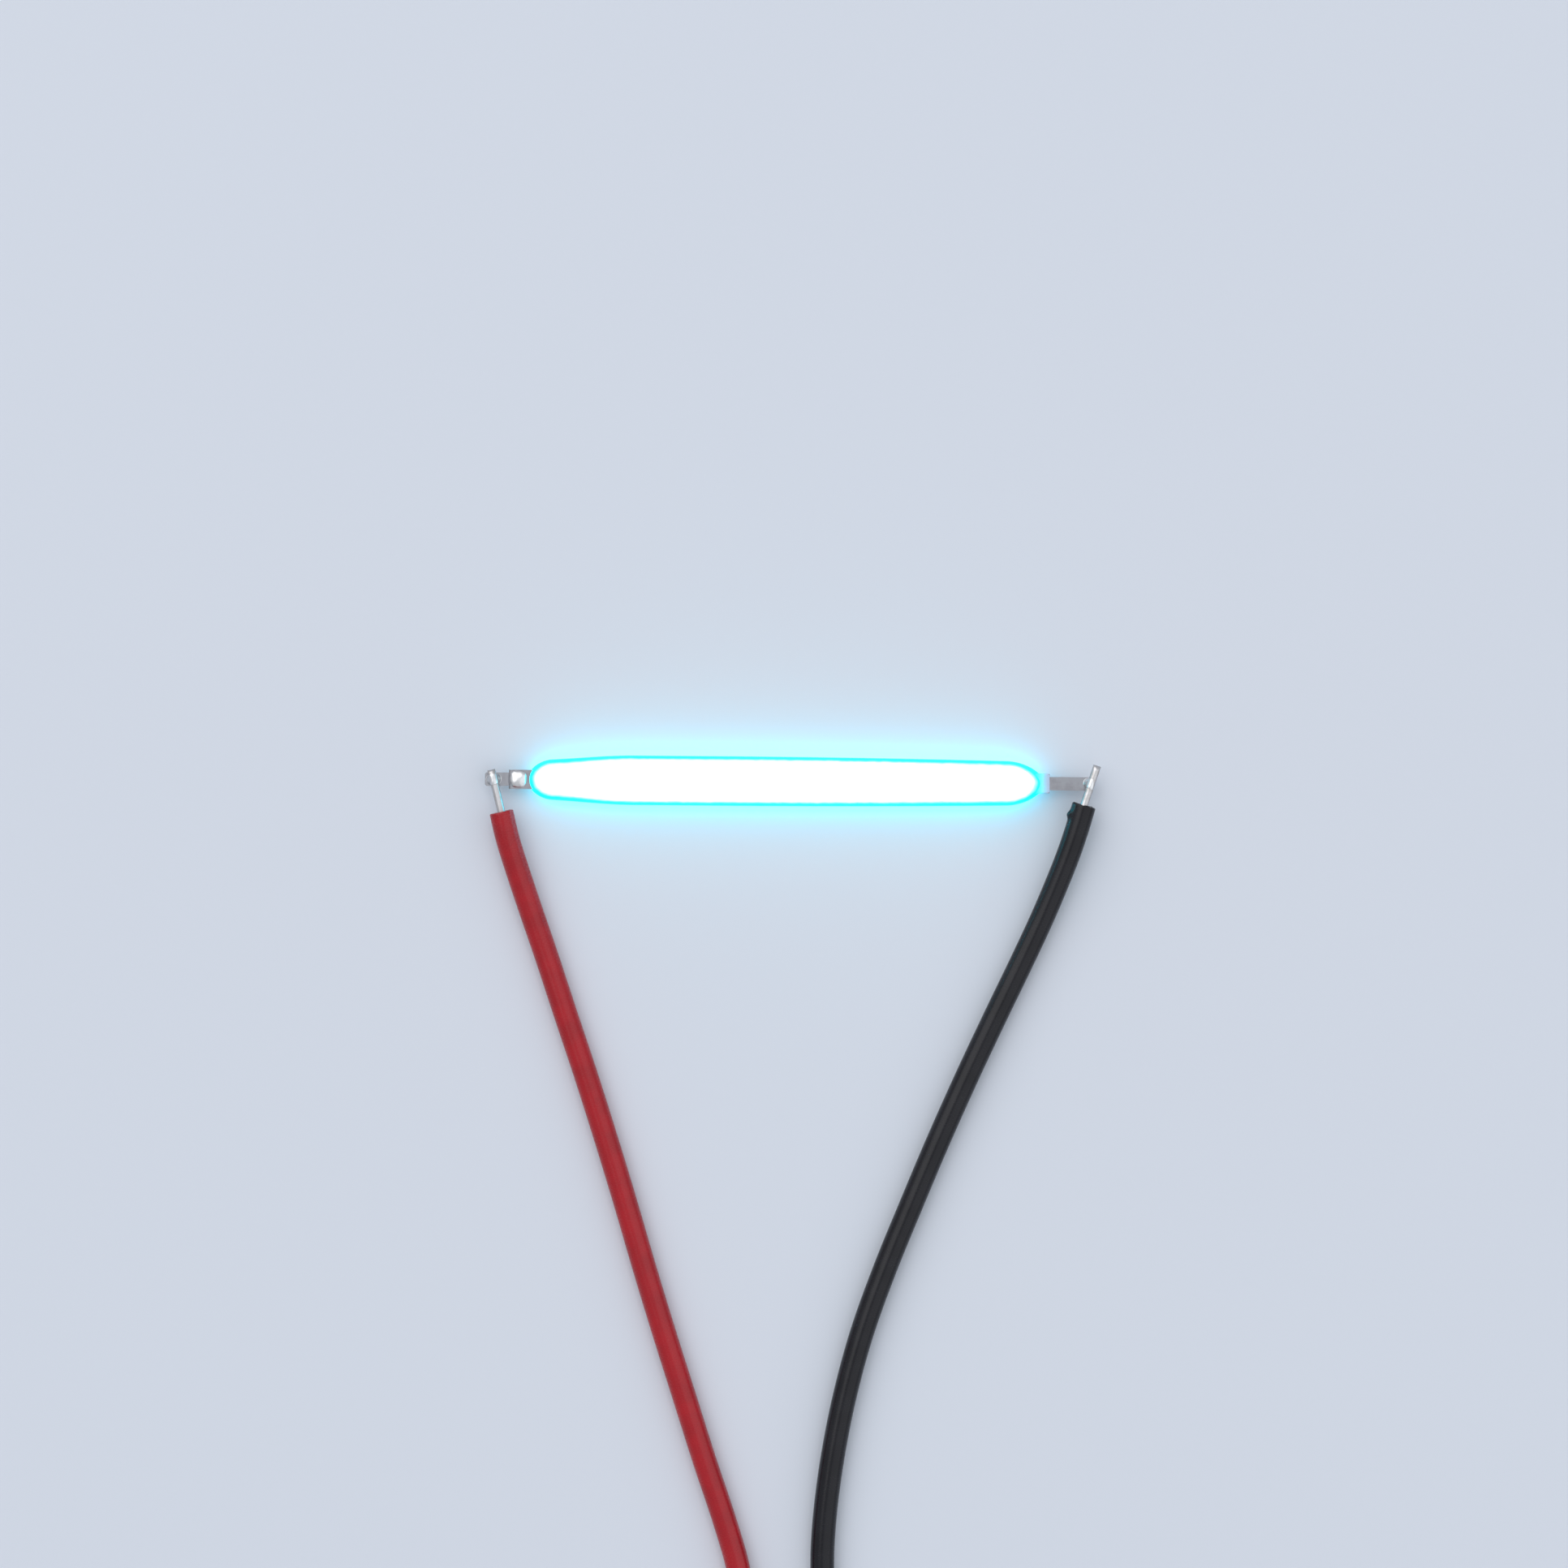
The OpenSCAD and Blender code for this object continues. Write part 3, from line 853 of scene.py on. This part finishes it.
@dataclass(frozen=True)
class BareCore:
    """A tinned core that stands out of the insulation and ends in a pinched snip."""

    name: str
    node: str
    start: Vector
    out: Vector
    reach: float
    diameter: float = 0.5 * MM
    hidden: float = 0.4 * MM
    pinch: float = 0.22 * MM
    pinch_depth: float = 0.72
    pinch_power: float = 1.5
    waviness: float = 0.008 * MM
    wave_length: float = 0.5 * MM
    line_step: float = 0.12 * MM
    least_steps: int = 8
    sides: int = 20

    def _radius(self, along: float, angle: float) -> float:
        """The core's radius, which wanders a little under its tin."""
        wander = noise.noise(Vector((along / self.wave_length, math.cos(angle), math.sin(angle))))
        return self.diameter / 2 - self.waviness * (0.5 + 0.5 * wander)

    def build(self) -> bpy.types.Object:
        """Builds the core.

        Returns:
            The piece.
        """
        begin = self.start - self.out * self.hidden
        whole = self.reach + self.hidden
        count = max(self.least_steps, round(whole / self.line_step))
        line = [begin + self.out * (whole * k / count) for k in range(count + 1)]
        rings = RoundBar(line, self.sides, self._radius).rings()
        for centre, ring in zip(line, rings):
            left = whole - (centre - begin).dot(self.out)
            flat = 1 - self.pinch_depth * max(0.0, 1 - left / self.pinch) ** self.pinch_power
            for p in ring:
                p.z = centre.z + (p.z - centre.z) * flat
        points, faces = loft(rings)
        return add_piece(self.name, points, faces, TINNED_COPPER.material(), (self.node,))


# ---- Silicone ----


@dataclass(frozen=True)
class CoatOutline:
    """The coat's half width and crown, station by station from the positive end."""

    width: float = 3.1 * MM
    height: float = 2.0 * MM
    mid_z: float = 1.0 * MM
    positive_reach: float = 16.2 * MM
    negative_reach: float = 15.8 * MM
    positive_shoulder: float = 2.45 * MM
    negative_shoulder: float = 2.7 * MM
    positive_swell: float = 6.5 * MM
    negative_swell: float = 20.0 * MM
    positive_nose: float = 1.4 * MM
    negative_nose: float = 2.2 * MM
    positive_fullness: float = 0.7
    negative_fullness: float = 0.75
    tip: float = 0.8 * MM
    ripple: float = 0.03 * MM
    ripple_length: float = 2.6 * MM
    nose_steps: int = 18
    positive_crowding: float = 2.0
    negative_crowding: float = 1.5
    body_step: float = 0.2 * MM

    @property
    def axis_drop(self) -> float:
        """How far behind the mid-plane a bead's round section has its centre."""
        return (self.width**2 - self.height**2) / (4 * self.height)

    def _nose(self, width: float, share: float, fullness: float) -> float:
        """A width near a tip, where a fullness of 1 is a parabola and less is blunter."""
        rise = (1 - (1 - min(share, 1.0)) ** 2) ** fullness
        return self.tip + (width - self.tip) * rise

    def half_width(self, x: float) -> float:
        """Half the coat's width at a place along the filament."""
        s = max(x + self.positive_reach, 0.0)
        gain = self.width - self.positive_shoulder
        positive = self.positive_shoulder + gain * eased(s / self.positive_swell)
        positive = self._nose(positive, s / self.positive_nose, self.positive_fullness)
        s = max(self.negative_reach - x, 0.0)
        gain = self.width - self.negative_shoulder
        negative = self.negative_shoulder + gain * (1 - (1 - min(s / self.negative_swell, 1.0)) ** 2)
        negative = self._nose(negative, s / self.negative_nose, self.negative_fullness)
        return min(positive, negative) / 2

    def stations(self) -> list[float]:
        """Places along the filament, close together at the noses."""
        shares = [k / self.nose_steps for k in range(self.nose_steps + 1)]
        body_start = self.positive_nose - self.positive_reach
        body_end = self.negative_reach - self.negative_nose
        body_steps = round((body_end - body_start) / self.body_step)
        first = [self.positive_nose * s**self.positive_crowding - self.positive_reach for s in shares[:-1]]
        body = [body_start + (body_end - body_start) * k / body_steps for k in range(body_steps)]
        last = [self.negative_reach - self.negative_nose * s**self.negative_crowding for s in shares[::-1]]
        return first + body + last


@dataclass(frozen=True)
class Bead:
    """One pass of silicone, on one face of the strip."""

    name: str
    node: str
    facing: int
    finish: LitSilicone
    outline: CoatOutline = CoatOutline()
    ripple_seed: float = 5.0
    edge_fade: float = 4.0
    across: int = 40

    def _section(self, x: float) -> list[Vector]:
        """The bead's round section at a place along the filament, from one edge to the other."""
        drop = self.outline.axis_drop
        half = self.outline.half_width(x)
        radius = math.hypot(half, drop)
        limit = math.asin(half / radius)
        points = []
        for k in range(self.across + 1):
            angle = limit * (2 * k / self.across - 1)
            crown = math.cos(angle) * radius - drop
            seed = self.facing * self.ripple_seed
            swell = noise.noise(Vector((x / self.outline.ripple_length, seed, angle)))
            fade = min(1.0, (1 - abs(angle) / limit) * self.edge_fade)
            sunk = self.outline.ripple * (0.5 + 0.5 * swell) * fade * crown / (self.outline.height / 2)
            lift = self.facing * max(crown - sunk, 0.0)
            points.append(Vector((x, math.sin(angle) * radius, self.outline.mid_z + lift)))
        return points

    def build(self) -> None:
        """Builds the bead, with the flat face along which the two beads meet."""
        rings = [self._section(x) for x in self.outline.stations()]
        points, faces = loft(rings)
        add_piece(self.name, points, faces, self.finish.material(), (self.node,))


@dataclass(frozen=True)
class Overflow:
    """A film of silicone that has crept out over the base of the negative tab and closed round its end. Its
    glow is painted light from the coat, not a light of its own.
    """

    name: str = "negative_overflow"
    start_x: float = 15.2 * MM
    base_end_x: float = 16.3 * MM
    half_width: float = 0.6 * MM
    half_thickness: float = 0.1 * MM
    thick_skin: float = 0.12 * MM
    skin: float = 0.03 * MM
    corner: float = 0.17 * MM
    side_power: float = 0.2
    top_power: float = 0.4
    creep: float = 0.5
    creep_length: float = 0.5 * MM
    creep_scale: float = 1.5
    inset_rise: float = 0.3
    steps: int = 32
    corner_steps: int = 8
    sides: int = 64

    def _ring(self, x: float, inset: float) -> list[Vector]:
        """The film round the base at a place, drawn in from its full width by an inset."""
        mid = CoatOutline().mid_z
        out = eased((x - self.start_x) / (self.base_end_x - self.start_x))
        skin = self.thick_skin + (self.skin - self.thick_skin) * out
        ring = []
        for j in range(self.sides):
            angle = math.tau * j / self.sides
            c, s = math.cos(angle), math.sin(angle)
            spot = Vector((x / self.creep_length, c * self.creep_scale, s * self.creep_scale))
            swell = 1 + self.creep * noise.noise(spot)
            wide = self.half_width + self.skin * swell - inset
            high = self.half_thickness + skin * swell - inset * self.inset_rise
            y = math.copysign(abs(c) ** self.side_power, c) * wide
            z = math.copysign(abs(s) ** self.top_power, s) * high
            ring.append(Vector((x, y, mid + z)))
        return ring

    def build(self) -> None:
        """Wraps the film round the tab's base."""
        turn_x = self.base_end_x + self.skin - self.corner
        rings = []
        for k in range(self.steps + 1):
            rings.append(self._ring(self.start_x + (turn_x - self.start_x) * k / self.steps, 0.0))
        for k in range(1, self.corner_steps + 1):
            angle = math.pi / 2 * k / self.corner_steps
            reach = self.corner * math.sin(angle)
            rings.append(self._ring(turn_x + reach, self.corner * (1 - math.cos(angle))))
        points, faces = loft(rings)
        add_piece(self.name, points, faces, FILM_SILICONE.material())


# ---- Solder ----


def soft_max(first: float, second: float, blend: float) -> float:
    """The greater of two heights, rounded over where they are about the same."""
    gap = first - second
    return (first + second + math.sqrt(gap * gap + blend * blend)) / 2


@dataclass(frozen=True)
class Mound:
    """Solder that lies on a tab, built over an oval patch from a rule for its height."""

    name: str
    node: str
    middle: Vector
    along: Vector
    half_along: float
    half_across: float
    squareness: float
    wander: float
    seed: float
    rounds: int = 40
    sides: int = 96

    def _reach(self, angle: float) -> tuple[float, float]:
        """How far the patch reaches along and across, in the direction of an angle."""
        power = 2 / self.squareness
        c, s = math.cos(angle), math.sin(angle)
        swell = 1 + self.wander * noise.noise(Vector((c, s, self.seed)))
        across = math.copysign(abs(c) ** power, c) * self.half_across * swell
        along = math.copysign(abs(s) ** power, s) * self.half_along * swell
        return along, across

    def build(self, height: Callable[[float, float, float], float], limit_x: float = math.inf) -> None:
        """Builds the mound, with a flat underside.

        Args:
            height: Gives the height from the place along, the place across and the share of the way out.
            limit_x: How far from the frame's middle plane the mound may reach.
        """
        across_way = Vector((self.along.y, -self.along.x, 0))
        rings = []
        for r in range(self.rounds, 0, -1):
            share = r / self.rounds
            ring = []
            for k in range(self.sides):
                along, across = (share * reach for reach in self._reach(math.tau * k / self.sides))
                spot = self.middle + self.along * along + across_way * across
                spot.x = math.copysign(min(abs(spot.x), limit_x), spot.x)
                ring.append(spot + Vector((0, 0, max(height(along, across, share), 0.0))))
            rings.append(ring)
        foot = [Vector((p.x, p.y, self.middle.z)) for p in rings[0]]
        points, faces = loft([foot, *rings])
        add_piece(self.name, points, faces, SOLDER_ALLOY.material(), (self.node,))


@dataclass(frozen=True)
class SolderJoint:
    """Solder that has flowed over the pin and up the sides of the core that crosses it."""

    name: str
    node: str
    crossing: Crossing
    half_along: float = 0.42 * MM
    half_across: float = 0.5 * MM
    meniscus: float = 0.5 * MM
    steepness: float = 1.2
    foot_share: float = 0.6
    least_run: float = 0.01 * MM
    cover: float = 0.03 * MM
    cover_fall: float = 3.0
    edge_fade: float = 5.0
    blend: float = 0.04 * MM

    def _height(self, along: float, across: float, share: float) -> float:
        """The solder's height over the pin: a meniscus up to the core and a thin cover over it."""
        radius = self.crossing.core_radius
        outer = self.half_across * math.sqrt(max(1 - (along / self.half_along) ** 2, 0.0))
        foot = radius * self.foot_share
        away = min(max(abs(across) - foot, 0.0) / max(outer - foot, self.least_run), 1.0)
        slope = self.meniscus * (1 - away) ** self.steepness
        cover = radius + self.cover * (1 - self.cover_fall * (along / self.half_along) ** 4)
        over = self.crossing.film + radius
        over += math.sqrt(max(cover**2 - across**2, 0.0)) if abs(across) < cover else -radius
        edge = min(1.0, (1 - share) * self.edge_fade)
        return soft_max(slope, over, self.blend) * math.sqrt(edge)

    def build(self) -> None:
        """Builds the joint on the pin's top."""
        middle = self.crossing.middle.copy()
        middle.z = self.crossing.pin_top
        mound = Mound(
            self.name, self.node, middle, self.crossing.out, self.half_along, self.half_across,
            squareness=2.0, wander=0.06, seed=self.crossing.side.value * 3.0,
        )
        mound.build(self._height, self.crossing.pin_end)


@dataclass(frozen=True)
class SolderPool:
    """A low pool of solder that has run onto the base of the positive tab."""

    name: str = "base_pool"
    node: str = "solder_pool"
    crown: float = 0.2 * MM
    fullness: float = 0.62
    swell: float = 0.12
    swell_length: float = 0.35 * MM

    def _height(self, along: float, across: float, share: float) -> float:
        """The pool's height over the base: a crown that falls to a wetted edge."""
        wander = noise.noise(Vector((along, across, 0)) / self.swell_length)
        return self.crown * (1 - share**2) ** self.fullness * (1 + self.swell * wander * share)

    def build(self) -> None:
        """Builds the pool where the frame has it."""
        low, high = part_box(self.node)
        middle = Vector(((low.x + high.x) / 2, (low.y + high.y) / 2, low.z))
        half = (high - low) / 2
        mound = Mound(
            self.name, self.node, middle, Vector((1, 0, 0)), half.x, half.y,
            squareness=3.2, wander=0.07, seed=21.0,
        )
        mound.build(self._height)


# ---- The whole part ----


@dataclass(frozen=True)
class InnerParts:
    """The frame's own nodes that no piece here stands for, with their finishes."""

    finishes: tuple[tuple[str, Union[Metal, Plastic]], ...] = (
        ("ceramic_strip", CERAMIC),
        ("positive_rail", SILVER_PRINT),
        ("negative_rail", SILVER_PRINT),
        ("positive_tab", PLATED_STEEL),
        ("negative_tab", PLATED_STEEL),
        ("die_attach", ADHESIVE),
        ("led_die_", SAPPHIRE),
        ("bond_wires_", GOLD),
    )

    def dress(self) -> None:
        """Gives each node whose name starts as listed its finish."""
        for start, finish in self.finishes:
            material = finish.material()
            for name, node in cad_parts.items():
                if name.startswith(start):
                    node.data.materials.clear()
                    node.data.materials.append(material)
            LOG.info("dressed %s", start)


def main() -> None:
    """Builds the camera, the leads, the filament and the studio."""
    logging.basicConfig(level=logging.INFO, format="%(name)s: %(message)s")
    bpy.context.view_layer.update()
    Viewpoint().build()
    Lead(
        "red", RED_CROSSING, RED_ROUTE, RED_PVC, Slot.RED_INSULATION, length=0.148, raggedness=0.03 * MM,
    ).build()
    burr = Nick(along=0.8 * MM, angle=math.radians(10), height=0.16 * MM, spread=0.24 * MM)
    Lead(
        "black", BLACK_CROSSING, BLACK_ROUTE, BLACK_PVC, Slot.BLACK_INSULATION,
        length=0.149, raggedness=0.09 * MM, nicks=(burr,),
    ).build()
    Bead("front_bead", "front_coat", 1, FRONT_SILICONE).build()
    Bead("back_bead", "back_coat", -1, BACK_SILICONE).build()
    Overflow().build()
    SolderJoint("positive_joint", "positive_solder", RED_CROSSING).build()
    SolderJoint("negative_joint", "negative_solder", BLACK_CROSSING).build()
    SolderPool().build()
    InnerParts().dress()
    Studio().build()


if __name__ == "__main__":
    main()
